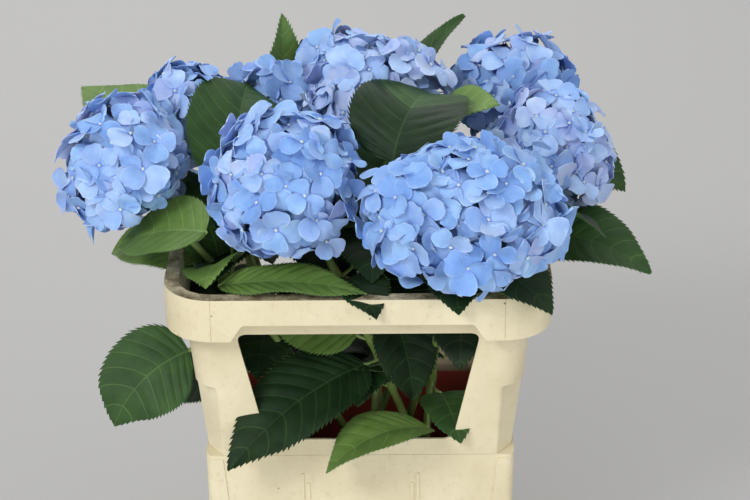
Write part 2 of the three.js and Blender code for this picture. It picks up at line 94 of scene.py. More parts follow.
# A blade's half width is u ** 0.5 * (1 - u) ** taper, slimmer towards the tip.
OUTLINE = {"widest": 0.3846, "taper": 0.8, "slim_from": 0.75, "slimmer": 0.35}
# Leaf greens from darkest to lightest. Besides some of a leaf's own tone, they paint the shade and light
# that fall on each leaf.
DARK, MID, LIGHT, DARK_TO_MID = range(4)

# Each leaf is height on the cane, compass angle, stalk, length, rise, droop, roll, width over
# length, and how light its green is, which paints the shade or light falling on the leaf, where
# DARK_TO_MID turns paler towards the tip to paint a shaded foot and a lit tip. Some add how
# far the blade turns from its stalk, and the stalk's own rise. Inner leaves grow inside the
# collar, window leaves reach out through its windows, and only the scene has the dark filler
# leaves, of the darkest green, set over gaps as painted shade.
# The hue says which petal tints a bloom has most of, from 0 for the deepest to 1 for the palest.
STEMS = [{
    "foot": (84, 56), "waist": (-110, -34), "bloom": (-237, -22, 556), "radii": (67, 74, 80),
    "hue": 0.6,
    "leaves": [
        (480, -73, 80, 102, 3, 40, -12, 0.95, LIGHT, -124, 30),
        (452, 155, 12, 122, 28, 72, -20, 0.72, LIGHT),
        (440, 118, 15, 100, 58, 35, 0, 0.75, MID),
        (445, -92, 28, 60, 38, 60, 0, 0.68, DARK),
        (441, -96, 20, 95, 49, 69, 21, 0.66, LIGHT, 0, 40),
        (430, 72, 102, 167, 55, 65, 25, 0.68, MID, 14, 82),
        (445, -86, 76, 152, 16, 28, 7, 0.36, LIGHT, 74, 15),
    ],
    "window_leaves": [
        (385, -157, 85, 115, -10, 60, -50, 0.8, MID),
        (345, 170, 50, 105, -12, 40, -40, 0.68, DARK),
    ],
    # Leaves of the darkest green set over gaps, as painted shade.
    "dark_filler_leaves": [
        (425, -150, 8, 62, 25, 60, 0, 0.85, DARK),
        (400, -170, 6, 52, 10, 50, 0, 0.85, DARK),
    ],
}, {
    "foot": (-38, -58), "waist": (-112, 40), "bloom": (-177, 80, 586), "radii": (48, 48, 50),
    "hue": 0.45,
    "leaves": [
        (515, 140, 40, 170, 21, 22, 0, 0.66, LIGHT, 0, 25),
        (480, 175, 28, 110, 10, 50, 0, 0.68, MID),
        (445, -110, 20, 105, 15, 30, 0, 0.78, DARK),
        (460, -70, 28, 110, 25, 50, 0, 0.72, DARK),
    ],
    "inner_leaves": [
        (345, -118, 28, 55, 16, 50, -40, 0.68, MID),
    ],
}, {
    "foot": (-96, -30), "waist": (-62, 78), "bloom": (-94, 126, 566), "radii": (48, 46, 50),
    "hue": 0.35,
    "leaves": [
        (455, 98, 60, 165, 44, -50, 35, 0.38, LIGHT),
        (470, 95, 28, 120, 5, 60, 0, 0.68, MID),
        (440, -70, 28, 140, 14, 30, 0, 0.74, DARK),
    ],
}, {
    "foot": (120, -20), "waist": (0, -50), "bloom": (-72, -92, 571), "radii": (80, 76, 80),
    "hue": 0.4,
    "leaves": [
        (440, -137, 28, 70, 15, 60, 0, 0.68, DARK),
        (450, 25, 28, 110, 35, 70, 0, 0.68, DARK),
        (450, -69, 28, 85, 24, 60, 0, 0.68, DARK),
        (440, -170, 28, 80, 20, 60, 0, 0.68, MID),
        (465, 120, 28, 120, 30, 60, 0, 0.68, DARK),
    ],
    "inner_leaves": [
        (370, 165, 15, 100, 14, 20, -40, 0.68, LIGHT),
    ],
    "window_leaves": [
        (345, -142, 20, 190, 0, 40, -15, 0.5, DARK),
    ],
}, {
    "foot": (-14, -52), "waist": (22, 16), "bloom": (26, 62, 597), "radii": (80, 68, 68),
    "hue": 0.85,
    "leaves": [
        (430, -85, 28, 150, 80, 20, 0, 0.7, DARK),
        (450, -40, 28, 150, 70, 10, 0, 0.68, DARK),
        (515, -28, 40, 140, 72, 66, 13, 0.62, LIGHT, 0, 40),
        (470, -94, 28, 128, 25, 60, 10, 0.68, DARK),
        (445, -140, 28, 130, 45, 50, 0, 0.68, DARK),
    ],
    "inner_leaves": [
        (400, -65, 28, 103, -27, 60, 0, 0.68, DARK),
    ],
}, {
    "foot": (-60, 40), "waist": (88, 78), "bloom": (169, 152, 574), "radii": (68, 62, 60),
    "hue": 0.5,
    "leaves": [
        (472, -9, 28, 164, 46, 98, 30, 0.62, MID, 0, 40),
        (465, 40, 28, 135, 15, 55, 0, 0.68, MID),
        (465, 110, 28, 125, 10, 50, 0, 0.68, MID),
        (440, -150, 28, 120, 40, 60, 0, 0.68, DARK),
    ],
}, {
    "foot": (10, 40), "waist": (112, 20), "bloom": (196, 20, 550), "radii": (70, 68, 76),
    "hue": 0.7,
    "leaves": [
        (440, -22, 30, 165, 30, 66, 8, 0.66, MID),
        (470, -43, 28, 127, 41, 69, -36, 0.68, DARK),
        (460, 178, 28, 115, 50, 50, 0, 0.78, DARK),
        (450, 60, 28, 120, 25, 70, 0, 0.68, MID),
    ],
    # A leaf of the darkest green set over a gap, as painted shade.
    "dark_filler_leaves": [
        (400, -95, 12, 105, 5, 70, 0, 0.7, DARK),
    ],
}, {
    "foot": (64, -14), "waist": (84, -46), "bloom": (104, -140, 556), "radii": (106, 78, 79),
    "hue": 0.3,
    "leaves": [
        (472, 165, 124, 142, 71, 120, 4, 0.82, DARK_TO_MID, -101, 62),
        (440, -84, 28, 90, 42, 80, 0, 0.68, DARK),
        (440, -42, 28, 130, 43, 90, 0, 0.68, DARK),
    ],
    "window_leaves": [
        (307, -93, 92, 126, 22, 66, 8, 0.68, LIGHT, -61, -5),
        (300, -76, 40, 83, 13, 50, 0, 0.68, MID),
    ],
}, {
    "foot": (34, -68), "waist": (6, 84), "bloom": (-18, 180, 580), "radii": (48, 44, 48),
    "hue": 0.5,
    "leaves": [
        (470, 117, 28, 163, 27, -40, 0, 0.68, DARK),
        (500, 11, 28, 171, 64, 22, 5, 0.4, MID, 0, 43),
        (500, 95, 31, 124, 59, 39, 6, 0.62, DARK),
        (480, 95, 28, 120, -5, 60, 0, 0.68, MID),
    ],
}, {
    "foot": (-44, 78), "waist": (-112, 80), "bloom": (-170, 176, 524), "radii": (54, 52, 54),
    "hue": 0.5,
    "leaves": [
        (440, 80, 28, 130, 25, 65, 0, 0.68, MID),
        (450, 175, 28, 120, 25, 65, 0, 0.68, MID),
    ],
}]

# ---- how fine the plants are made
SEEDS = {"hidden": 101, "blades": 301, "grain": 17, "blooms": 7}
MORE_HIDDEN = 3  # leaves on each cane inside the collar, beyond those in the solids
TOOTH = 4.6  # length of leaf edge to a tooth
FEWEST_TEETH, MOST_TEETH = 13, 34
TOOTH_STEPS = ((0.0, -0.4), (0.45, 0.35), (0.8, 1.0))  # where in the tooth, and how far it stands out
TOOTH_REACH = 2.3  # on a blade of the usual length
TEETH_TO_A_VEIN = 3
TURN_PART = 0.62  # of a leaf's edge, where a DARK_TO_MID leaf turns from painted shade to paler painted light
USUAL_LENGTH = 120
BLADE_COLUMNS = (0.03, 0.12, 0.28, 0.45, 0.62, 0.78, 0.9, 0.975, 1.0)
BLADE_THICKNESS = 0.8
EDGE_THICKNESS = 0.4  # of the blade's thickness
QUILT = 1.1  # how far a blade bulges between its veins
RIPPLE = 0.014  # of a blade's length
SWELLING = {"height": 1.1, "reach": 6}
GRAIN = 0.12
INTO_BLOOM = 0.45  # of its smallest radius, where a cane ends below a bloom's middle
FLORET = {"radius": 24, "spacing": 760, "lowest": -0.86, "face": 0.91, "depth": 0.22, "tilt": 0.34}
FLORET_SIZE = (0.84, 1.12)
HUE_SPREAD = 1.5
BALL_GAP = 4
SINKING = {"tries": 4, "step": 7, "fewest_sepals": 2}
SEPAL_ROWS = 8
SEPAL_COLUMNS = (-1, -0.9, -0.45, 0, 0.45, 0.9, 1)
SEPAL_THICKNESS = 0.4
SEPAL = {"turn": 0.14, "size": (0.88, 1.06), "width": (1.06, 1.26), "ruffle": (0.5, 1.6)}
SEPAL_ANGLES = {"cup": (0, 34), "lift": (-12, 12), "curl": (4, 40), "roll": (5, 11)}
BUD = {"size": (1.7, 2.4), "sides": 8, "rows": 5, "lobes": 4, "lobe": 0.22}
BRANCH = {"count": 16, "top": 0.95, "span": 1.6, "reach": 0.5, "fork": 0.35, "sag": 4}
ASKEW = np.array([0.3, 0.5, 0.8])
GOLDEN = pi * (3 - sqrt(5))


# ---- meshes
def linked(name, data):
    """A new object of the scene that holds the data."""
    made = bpy.data.objects.new(name, data)
    bpy.context.scene.collection.objects.link(made)
    return made


def new_mesh(name, points, faces):
    """A mesh in metres from points in millimetres."""
    mesh = bpy.data.meshes.new(name)
    mesh.from_pydata((np.asarray(points, dtype=float) * MM).tolist(), [], faces)
    return mesh


def new_piece(name, points, faces, materials, slots, smooth_angle=50):
    """A smooth object from points in millimetres, with a material slot for each face."""
    mesh = new_mesh(name, points, faces)
    for material in materials:
        mesh.materials.append(material)
    mesh.polygons.foreach_set("material_index", np.asarray(slots, dtype=np.int32))
    mesh.polygons.foreach_set("use_smooth", np.ones(len(mesh.polygons), dtype=bool))
    mesh.set_sharp_from_angle(angle=radians(smooth_angle))
    return linked(name, mesh)


class Gathered:
    """Points, faces and material slots of many small shapes that become one piece."""

    def __init__(self):
        self.points = []
        self.faces = []
        self.slots = []
        self.count = 0

    def add(self, points, faces, slots):
        """Points as n by 3, faces as quads, and a slot for each face or one for all."""
        self.points.append(points)
        self.faces.append(faces + self.count)
        self.slots.append(np.broadcast_to(slots, len(faces)))
        self.count += len(points)

    def piece(self, name, materials):
        points = np.concatenate(self.points)
        faces = np.concatenate(self.faces).tolist()
        return new_piece(name, points, faces, materials, np.concatenate(self.slots))


def loft_faces(rows, count):
    """Quads between rings of count points, the first ring's end and the last ring's end closed."""
    row = np.arange(rows - 1)[:, None] * count
    here = np.arange(count)[None, :]
    after = (here + 1) % count
    sides = np.stack([row + here, row + count + here, row + count + after, row + after], axis=-1)
    half = np.arange(count // 2 - 1)
    first = np.stack([half, half + 1, count - 2 - half, count - 1 - half], axis=-1)
    last = first[:, ::-1] + (rows - 1) * count
    return sides.reshape(-1, 4), first, last


def tube(points, radii, sides=10):
    """A closed tapering tube through points, as points and quads."""
    points = np.asarray(points, dtype=float)
    along = np.gradient(points, axis=0)
    along /= np.linalg.norm(along, axis=1, keepdims=True)
    helper = np.array([0.13, 0.97, 0.21])
    across = np.cross(helper, along)
    across /= np.linalg.norm(across, axis=1, keepdims=True)
    third = np.cross(along, across)
    angle = np.linspace(0, 2 * pi, sides, endpoint=False)[None, :, None]
    radius = np.asarray(radii, dtype=float).reshape(len(points), -1, 1)
    outward = across[:, None] * np.cos(angle) + third[:, None] * np.sin(angle)
    rings = points[:, None] + radius * outward
    around, first, last = loft_faces(len(points), sides)
    faces = np.concatenate([around, first, last])[:, ::-1]
    return rings.reshape(-1, 3), faces


# ---- materials
class Look:
    """A material with a Principled shader, and short calls for the nodes that feed it."""

    def __init__(self, name, roughness=0.5, **sockets):
        self.material = bpy.data.materials.new(name)
        self.material.use_nodes = True
        self.nodes = self.material.node_tree.nodes
        self.links = self.material.node_tree.links
        self.skin = self.nodes["Principled BSDF"]
        self.skin.inputs["Roughness"].default_value = roughness
        for socket, value in sockets.items():
            self.skin.inputs[socket.replace("_", " ")].default_value = value
        self.place = self.nodes.new("ShaderNodeTexCoord").outputs["Object"]

    def put(self, value, socket):
        """Links a node's output to a socket, or sets the socket to a value."""
        if isinstance(value, bpy.types.NodeSocket):
            self.links.new(value, socket)
        else:
            socket.default_value = value

    def feed(self, node, **inputs):
        for name, value in inputs.items():
            self.put(value, node.inputs[name.replace("_", " ")])
        return node

    def noise(self, scale, detail=3, roughness=0.5, place=None):
        node = self.nodes.new("ShaderNodeTexNoise")
        self.feed(node, Vector=place or self.place, Scale=scale, Detail=detail, Roughness=roughness)
        return node.outputs["Fac"]

    def cells(self, scale, feature="F1", randomness=1.0):
        node = self.nodes.new("ShaderNodeTexVoronoi")
        node.feature = feature
        self.feed(node, Vector=self.place, Scale=scale, Randomness=randomness)
        return node.outputs["Distance"]

    def stretched(self, scale):
        node = self.nodes.new("ShaderNodeMapping")
        self.feed(node, Vector=self.place, Scale=scale)
        return node.outputs["Vector"]

    def between(self, value, low, high, to_low=0.0, to_high=1.0):
        node = self.nodes.new("ShaderNodeMapRange")
        node.clamp = True
        self.feed(node, Value=value, From_Min=low, From_Max=high, To_Min=to_low, To_Max=to_high)
        return node.outputs["Result"]

    def maths(self, operation, *values):
        node = self.nodes.new("ShaderNodeMath")
        node.operation = operation
        for value, socket in zip(values, node.inputs):
            self.put(value, socket)
        return node.outputs["Value"]

    def times(self, one, other):
        return self.maths("MULTIPLY", one, other)

    def mix(self, factor, one, other):
        """The first colour where the factor is 0, the second where it is 1."""
        node = self.nodes.new("ShaderNodeMix")
        node.data_type = "RGBA"
        self.put(factor, node.inputs[0])
        for colour, socket in ((one, node.inputs[6]), (other, node.inputs[7])):
            self.put((*colour, 1.0) if isinstance(colour, tuple) else colour, socket)
        return node.outputs[2]

    def axis(self, source, index):
        node = self.nodes.new("ShaderNodeSeparateXYZ")
        self.links.new(source, node.inputs[0])
        return node.outputs[index]

    def normal(self):
        return self.nodes.new("ShaderNodeNewGeometry").outputs["Normal"]

    def bump(self, height, strength, distance):
        node = self.nodes.new("ShaderNodeBump")
        self.feed(node, Height=height, Strength=strength, Distance=distance)
        self.links.new(node.outputs["Normal"], self.skin.inputs["Normal"])

    def colour(self, socket):
        self.links.new(socket, self.skin.inputs["Base Color"])

    def rough(self, socket):
        self.links.new(socket, self.skin.inputs["Roughness"])


CREAM = {"low": (0.66, 0.58, 0.38), "high": (0.78, 0.71, 0.50)}
WEAR = {
    "dust": (0.42, 0.33, 0.19), "spot": (0.10, 0.07, 0.04), "scratch": (0.45, 0.37, 0.24),
    "grime": (0.13, 0.09, 0.045), "seam": (0.36, 0.28, 0.16),
}
RIM_TOP = (0.463, 0.4665)  # metres, where the rim's grime begins and is full
# The mould's seam up the rim band: where each of its sides fades, and how high it starts.
SEAM = {"inner": (0.1455, 0.1459), "outer": (0.1467, 0.1463), "foot": (0.420, 0.422)}


def cream_plastic(name):
    look = Look(name, IOR=1.46)
    cloudy = look.noise(11, 5, 0.6)
    colour = look.mix(look.between(cloudy, 0.3, 0.7), CREAM["low"], CREAM["high"])
    dust = look.between(look.noise(140, 6, 0.75), 0.54, 0.74)
    colour = look.mix(look.times(dust, 0.35), colour, WEAR["dust"])
    spots = look.between(look.cells(62), 0.10, 0.04)
    spots = look.times(spots, look.between(look.noise(17, 2), 0.5, 0.6))
    colour = look.mix(spots, colour, WEAR["spot"])
    scratch = look.noise(1, 3, 0.6, look.stretched((900, 900, 22)))
    scratch = look.between(scratch, 0.66, 0.74)
    colour = look.mix(look.times(scratch, 0.3), colour, WEAR["scratch"])
    height = look.axis(look.place, 2)
    facing = look.between(look.axis(look.normal(), 2), 0.35, 0.8)
    grime = look.times(look.times(facing, look.between(height, *RIM_TOP)),
                       look.between(look.noise(45, 5, 0.7), 0.36, 0.6))
    colour = look.mix(look.times(grime, 0.9), colour, WEAR["grime"])
    sideways = look.maths("ABSOLUTE", look.axis(look.place, 0))
    seam = look.times(look.between(sideways, *SEAM["inner"]), look.between(sideways, *SEAM["outer"]))
    seam = look.times(seam, look.between(height, *SEAM["foot"]))
    seam = look.times(seam, look.between(look.noise(70, 3, 0.6), 0.3, 0.6, 0.3, 1.0))
    colour = look.mix(look.times(seam, 0.65), colour, WEAR["seam"])
    look.colour(colour)
    look.rough(look.between(cloudy, 0.2, 0.8, 0.42, 0.62))
    look.bump(look.noise(420, 4, 0.6), 0.18, 0.0006)
    return look.material


def red_plastic(name):
    look = Look(name)
    cloudy = look.noise(20, 5, 0.6)
    look.colour(look.mix(cloudy, (0.20, 0.022, 0.014), (0.34, 0.05, 0.03)))
    look.rough(look.between(cloudy, 0.2, 0.8, 0.45, 0.75))
    look.bump(look.noise(300, 4), 0.15, 0.0005)
    return look.material


def leaf_skin(name, dark, light, roughness=0.42, veins=0.25):
    look = Look(name, roughness, IOR=1.42, Specular_IOR_Level=0.25)
    cloudy = look.noise(38, 4, 0.6)
    colour = look.mix(look.between(cloudy, 0.3, 0.7), dark, light)
    net = look.between(look.cells(520, "DISTANCE_TO_EDGE"), 0.0, 0.10)
    colour = look.mix(look.times(look.between(net, 0, 1, 1, 0), veins), colour, light)
    look.colour(colour)
    look.rough(look.between(cloudy, 0.2, 0.8, roughness - 0.06, roughness + 0.1))
    look.bump(net, 0.35, 0.0004)
    return look.material


def stalk_skin(name, dark, light):
    look = Look(name, 0.5)
    cloudy = look.noise(60, 4, 0.6)
    colour = look.mix(look.between(cloudy, 0.3, 0.7), dark, light)
    specks = look.between(look.cells(330), 0.16, 0.08)
    specks = look.times(specks, look.between(look.noise(90, 2), 0.45, 0.6))
    look.colour(look.mix(look.times(specks, 0.7), colour, (0.13, 0.07, 0.035)))
    look.bump(look.noise(1, 4, 0.6, look.stretched((900, 900, 90))), 0.3, 0.0006)
    return look.material


def petal_skin(name, tint, paler=0.0):
    look = Look(name, 0.65, IOR=1.4, Specular_IOR_Level=0.3)
    look.feed(look.skin, Subsurface_Weight=0.15, Subsurface_Scale=0.001, Sheen_Weight=0.08)
    # The paler tint for edges paints light shining through them.
    light = tuple(channel + (top - channel) * paler for channel, top in zip(tint, PALEST_PETAL))
    deep = tuple(channel * part for channel, part in zip(light, DEEPER))
    cloudy = look.noise(60, 3, 0.55)
    look.colour(look.mix(look.between(cloudy, 0.32, 0.68), deep, light))
    look.bump(look.noise(520, 3), 0.2, 0.0004)
    return look.material


# Copies of one leaf green from dark to light, dealt to the leaves by the shade or light on them: painted
# shade and light. The vein copies follow them.
LEAF_TOPS = [
    leaf_skin("leaf_dark", (0.006, 0.018, 0.006), (0.014, 0.036, 0.012)),
    leaf_skin("leaf_mid", (0.018, 0.050, 0.012), (0.038, 0.092, 0.022)),
    leaf_skin("leaf_light", (0.085, 0.170, 0.030), (0.150, 0.250, 0.060)),
]
LEAF_VEINS = [
    leaf_skin("vein_dark", (0.016, 0.040, 0.012), (0.032, 0.070, 0.022), 0.5, 0.1),
    leaf_skin("vein_mid", (0.045, 0.095, 0.026), (0.075, 0.145, 0.042), 0.5, 0.1),
    leaf_skin("vein_light", (0.150, 0.250, 0.070), (0.220, 0.330, 0.110), 0.5, 0.1),
]
LEAF_UNDER = leaf_skin("leaf_under", (0.100, 0.180, 0.075), (0.150, 0.250, 0.105), 0.6, 0.4)
LEAF_SLOTS = [*LEAF_TOPS, *LEAF_VEINS, LEAF_UNDER]
VEIN_SLOT = 3
UNDER_SLOT = 6
CANE_SKIN = stalk_skin("cane_skin", (0.10, 0.17, 0.035), (0.22, 0.31, 0.085))
STALK_SKIN = stalk_skin("stalk_skin", (0.13, 0.22, 0.05), (0.26, 0.38, 0.12))
BRANCH_SKIN = stalk_skin("branch_skin", (0.25, 0.36, 0.30), (0.38, 0.50, 0.42))
TWIG_SLOTS = [CANE_SKIN, STALK_SKIN, BRANCH_SKIN]
CANE_SLOT, STALK_SLOT, BRANCH_SLOT = range(3)
PALEST_PETAL = (0.66, 0.78, 0.96)
# How much paler a sepal's edge is than its tint: painted light shining through the thin edge.
PAINTED_EDGE_LIGHT = 0.22
DEEPER = (0.70, 0.77, 0.89)  # a petal's deeper patches, as parts of its tint
PETAL_TINTS = [
    (0.23, 0.41, 0.77), (0.28, 0.47, 0.80), (0.33, 0.53, 0.84), (0.31, 0.48, 0.81),
    (0.38, 0.55, 0.85), (0.45, 0.61, 0.88), (0.43, 0.53, 0.82), (0.53, 0.64, 0.88),
]
EDGE_SLOT = len(PETAL_TINTS)
THROAT_SLOT = 2 * EDGE_SLOT
PETAL_SLOTS = [
    *(petal_skin(f"petal_{k + 1}", tint) for k, tint in enumerate(PETAL_TINTS)),
    # Paler copies of each tint for the sepal edges, painted light shining through them.
    *(petal_skin(f"petal_lit_edge_{k + 1}", tint, PAINTED_EDGE_LIGHT) for k, tint in enumerate(PETAL_TINTS)),
    petal_skin("petal_throat", (0.24, 0.36, 0.78)),
]
BUD_SKIN = petal_skin("bud_skin", (0.62, 0.74, 0.72))


# ---- container shapes
def corner_ring(half_x, half_y, corner, z, reach=None):
    """A rounded rectangle, counter-clockwise from above, its corners cut flat at a reach."""
    points = []
    for sign_x, sign_y, turn in ((1, -1, -1), (1, 1, 0), (-1, 1, 1), (-1, -1, 2)):
        for k in range(CORNER_STEPS + 1):
            angle = pi / 2 * (turn + k / CORNER_STEPS)
            x = sign_x * (half_x - corner) + corner * cos(angle)
            y = sign_y * (half_y - corner) + corner * sin(angle)
            if reach is not None:
                over = CORNER_CUT["across"] * abs(x) + CORNER_CUT["deep"] * abs(y) - reach
                x -= sign_x * CORNER_CUT["across"] * max(over, 0)
                y -= sign_y * CORNER_CUT["deep"] * max(over, 0)
            points.append((x, y, z))
    return points


def tub(levels):
    """A closed solid through rounded rectangles, from the lowest to the highest."""
    rings = [corner_ring(*level) for level in levels]
    count = len(rings[0])
    faces = []
    for row in range(len(rings) - 1):
        for k in range(count):
            low, high = row * count, (row + 1) * count
            after = (k + 1) % count
            faces.append((low + k, low + after, high + after, high + k))
    faces.append(tuple(range(count))[::-1])
    faces.append(tuple(range((len(rings) - 1) * count, len(rings) * count)))
    return linked("tub", new_mesh("tub", [point for ring in rings for point in ring], faces))


def prism(outline, start, end, turned=False):
    """An outline of (x, z) drawn out along Y, or turned to lie along X."""
    count = len(outline)
    points = [(x, start, z) for x, z in outline] + [(x, end, z) for x, z in outline]
    if turned:
        points = [(-y, x, z) for x, y, z in points]
    faces = [tuple(range(count)), tuple(range(count, 2 * count))[::-1]]
    for k in range(count):
        after = (k + 1) % count
        faces.append((k, k + count, after + count, after))
    return linked("prism", new_mesh("prism", points, faces))


def block(x0, x1, y0, y1, z0, z1):
    return prism([(x0, z0), (x1, z0), (x1, z1), (x0, z1)], y0, y1)


def rounded_window(bottom_half, bottom, top_half, top, corner, turned):
    """A cutter through front and back, or turned through both sides, with rounded corners."""
    outline =[(-bottom_half, bottom), (bottom_half, bottom), (top_half, top), (-top_half, top)]
    corners = [np.array(point, dtype=float) for point in outline]
    points = []
    for k, point in enumerate(corners):
        before = corners[k - 1] - point
        after = corners[(k + 1) % 4] - point
        start = point + before / np.linalg.norm(before) * corner
        end = point + after / np.linalg.norm(after) * corner
        for t in np.linspace(0, 1, 7):
            points.append(tuple((1 - t) ** 2 * start + 2 * t * (1 - t) * point + t * t * end))
    reach = 2 * BAND["half_x"]
    return prism(points, -reach, reach, turned)


def apply_all(body):
    """Replaces a body's mesh by what its modifiers make of it."""
    graph = bpy.context.evaluated_depsgraph_get()
    made = bpy.data.meshes.new_from_object(body.evaluated_get(graph))
    body.modifiers.clear()
    body.data = made
    return body


def joined(body, others, operation):
    for other in others:
        step = body.modifiers.new("step", "BOOLEAN")
        step.operation = operation
        step.solver = "MANIFOLD"
        step.object = other
        apply_all(body)
        bpy.data.objects.remove(other)
    return body


def union(body, others):
    return joined(body, others, "UNION")


def without(body, others):
    return joined(body, others, "DIFFERENCE")


def finished(body, name, material, bevel, nodes):
    """Rounds a container's edges, and lets it stand for its CAD nodes."""
    edit = bmesh.new()
    edit.from_mesh(body.data)
    bmesh.ops.remove_doubles(edit, verts=edit.verts, dist=ROUNDING["merge"])
    flat = radians(ROUNDING["flat"])
    bmesh.ops.dissolve_limit(edit, angle_limit=flat, verts=edit.verts, edges=edit.edges)
    edit.to_mesh(body.data)
    edit.free()
    rounding = body.modifiers.new("rounding", "BEVEL")
    rounding.width = bevel * MM
    rounding.segments = ROUNDING["segments"]
    rounding.limit_method = "ANGLE"
    rounding.angle_limit = radians(ROUNDING["sharp"])
    rounding.harden_normals = False
    weights = body.modifiers.new("weights", "WEIGHTED_NORMAL")
    weights.keep_sharp = False
    body.data.polygons.foreach_set("use_smooth", np.ones(len(body.data.polygons), dtype=bool))
    apply_all(body)
    body.name = name
    body.data.name = name
    body.data.materials.clear()
    body.data.materials.append(material)
    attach(body, BODY)
    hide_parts(*nodes)
    return body


def make_bucket():
    half_x, half_y, height = BUCKET["half_x"], BUCKET["half_y"], BUCKET["height"]
    corner, wall, draft = BUCKET["corner"], BUCKET["wall"], BUCKET["draft"]
    overhang, thickness = LEDGE["overhang"], LEDGE["thickness"]
    body = tub([(half_x - draft, half_y - draft, corner, 0), (half_x, half_y, corner, height)])
    raised = []
    for x, top in ((RIB["outer"], RIB["outer_top"]), (RIB["inner"], RIB["inner_top"])):
        for side in (-1, 1):
            left = side * x - RIB["width"] / 2
            raised.append(block(left, left + RIB["width"], -2 * half_y, 2 * half_y, RIB["foot"], top))
    for side in (-1, 1):
        foot, top, edge = PILASTER["foot"], PILASTER["top"], PILASTER["top_edge"]
        foot_edge = edge - PILASTER["slant"] * (top - foot)
        outline = [(foot_edge, foot), (2 * half_x, foot), (2 * half_x, top), (edge, top)]
        outline = [(side * x, z) for x, z in outline][::side]
        raised.append(prism(outline, -2 * half_y, 2 * half_y))
    # What is raised leans with the wall: it is cut from a tub that is as much larger.
    for k, part in enumerate(raised):
        larger = tub([
            (half_x - draft, half_y - draft + RIB["proud"], corner, 0),
            (half_x, half_y + RIB["proud"], corner, height),
        ])
        raised[k] = joined(part, [larger], "INTERSECT")
    union(body, raised)
    inside = tub([
        (half_x - draft - wall, half_y - draft - wall, corner, BUCKET["floor"]),
        (half_x - wall, half_y - wall, corner, height - thickness),
    ])
    mouth = tub([
        (half_x - overhang, half_y - overhang, LEDGE["corner"], z)
        for z in (height - 2 * thickness, height + OVERCUT)
    ])
    return without(body, [inside, mouth])


def make_collar():
    foot, top, wall = COLLAR["foot"], COLLAR["top"], COLLAR["wall"]
    skirt, flange = top - BAND["height"], top - BAND["wall"]
    step = BAND["half_x"] - BAND["half_y"]
    cut = CORNER_CUT["step"]

    def level(half, corner, z, reach=None):
        return (half, half - step, corner, z, reach)

    def between(at_foot, at_skirt, z):
        return at_foot + (at_skirt - at_foot) * (z - foot) / (skirt - foot)

    def half_at(z):
        return between(COLLAR["foot_half"], COLLAR["skirt_half"], z)

    def corner_at(z):
        return between(COLLAR_CORNER["foot"], COLLAR_CORNER["skirt"], z)

    def skirt_levels(thinner, low):
        return [
            level(half_at(low) - thinner, corner_at(low), low, CORNER_CUT["foot_reach"] - thinner),
            level(half_at(cut) - thinner, corner_at(cut), cut, CORNER_CUT["step_reach"] - thinner),
            level(half_at(cut) - thinner, corner_at(cut), cut + CORNER_CUT_RISE),
            level(COLLAR["skirt_half"] - thinner, COLLAR_CORNER["skirt"], skirt),
            level(COLLAR["neck_half"] - thinner, COLLAR_CORNER["neck"], NOTCH["top"]),
        ]

    band = tub([level(BAND["half_x"], BAND["corner"], z) for z in (skirt, top)])
    shell = tub([*skirt_levels(0, foot), level(FLANGE_HALF, COLLAR_CORNER["flange"], flange)])
    mouth = level(BAND["half_x"] - BAND["lip"], COLLAR_CORNER["mouth"], top + OVERCUT)
    inside = tub([*skirt_levels(wall, foot - OVERCUT), mouth])
    under_half, under_corner = BAND["half_x"] - BAND["wall"], BAND["corner"] - BAND["wall"]
    under = tub([level(under_half, under_corner, z) for z in (skirt - OVERCUT, flange)])

    def notches(grown):
        made = []
        for turned, window in enumerate((WINDOW_FRONT, WINDOW_SIDE)):
            bottom_half = window["top_half"] + NOTCH["spread"] + grown
            top_half = window["top_half"] - NOTCH["spread"] + grown
            bottom, head = skirt - 2 * NOTCH["web"], NOTCH["top"] + grown
            made.append(rounded_window(bottom_half, bottom, top_half, head, NOTCH["corner"], turned))
        return made

    def copy_of(body):
        return linked(body.name, body.data.copy())

    hollow = without(under, [copy_of(shell), *notches(NOTCH["web"])])
    sill, head, corner = WINDOW["sill"], WINDOW["top"], WINDOW["corner"]
    windows = [
        rounded_window(window["sill_half"], sill, window["top_half"], head, corner, turned)
        for turned, window in enumerate((WINDOW_FRONT, WINDOW_SIDE))
    ]
    cuts = [without(notch, [copy_of(shell)]) for notch in notches(0)]
    body = union(band, [shell])
    return without(body, [inside, hollow, *cuts, *windows])


def make_liner():
    base = BUCKET["floor"] + LINER["gap"]
    half_x, half_y, corner, wall = LINER["half_x"], LINER["half_y"], LINER["corner"], LINER["wall"]
    body = tub([(half_x, half_y, corner, base), (half_x, half_y, corner, LINER["top"])])
    inner = (half_x - wall, half_y - wall, corner - wall)
    return without(body, [tub([(*inner, base + wall), (*inner, LINER["top"] + OVERCUT)])])


# ---- plant shapes
def cane_axis(stem, part):
    """The curve of second degree through a cane's foot, its waist and its bloom."""
    part = np.asarray(part, dtype=float)[..., None]
    middle = CANE["waist_part"]
    at_foot = (part - middle) * (part - 1) / middle
    at_waist = part * (part - 1) / (middle * (middle - 1))
    at_bloom = part * (part - middle) / (1 - middle)
    foot = np.array([*stem["foot"], FLOOR])
    waist = np.array([*stem["waist"], CANE["waist_height"]])
    return at_foot * foot + at_waist * waist + at_bloom * np.array(stem["bloom"])


def last_part(test):
    """The greatest part of a cane's length for which a test still holds, found by halving."""
    low, high = 0.0, 1.0
    for _ in range(30):
        middle = (low + high) / 2
        if test(middle):
            low = middle
        else:
            high = middle
    return low


def part_at_height(stem, height):
    return last_part(lambda part: cane_axis(stem, part)[2] < height)


def blade_outline(part):
    """Half of a leaf's width at a part of its length, as a part of the widest."""

    def shape(u):
        return np.sqrt(u) * (1 - u) ** OUTLINE["taper"]

    slim_from = OUTLINE["slim_from"]
    slimmer = OUTLINE["slimmer"] * np.maximum(0, (part - slim_from) / (1 - slim_from))
    return shape(part) / shape(OUTLINE["widest"]) * (1 - slimmer)


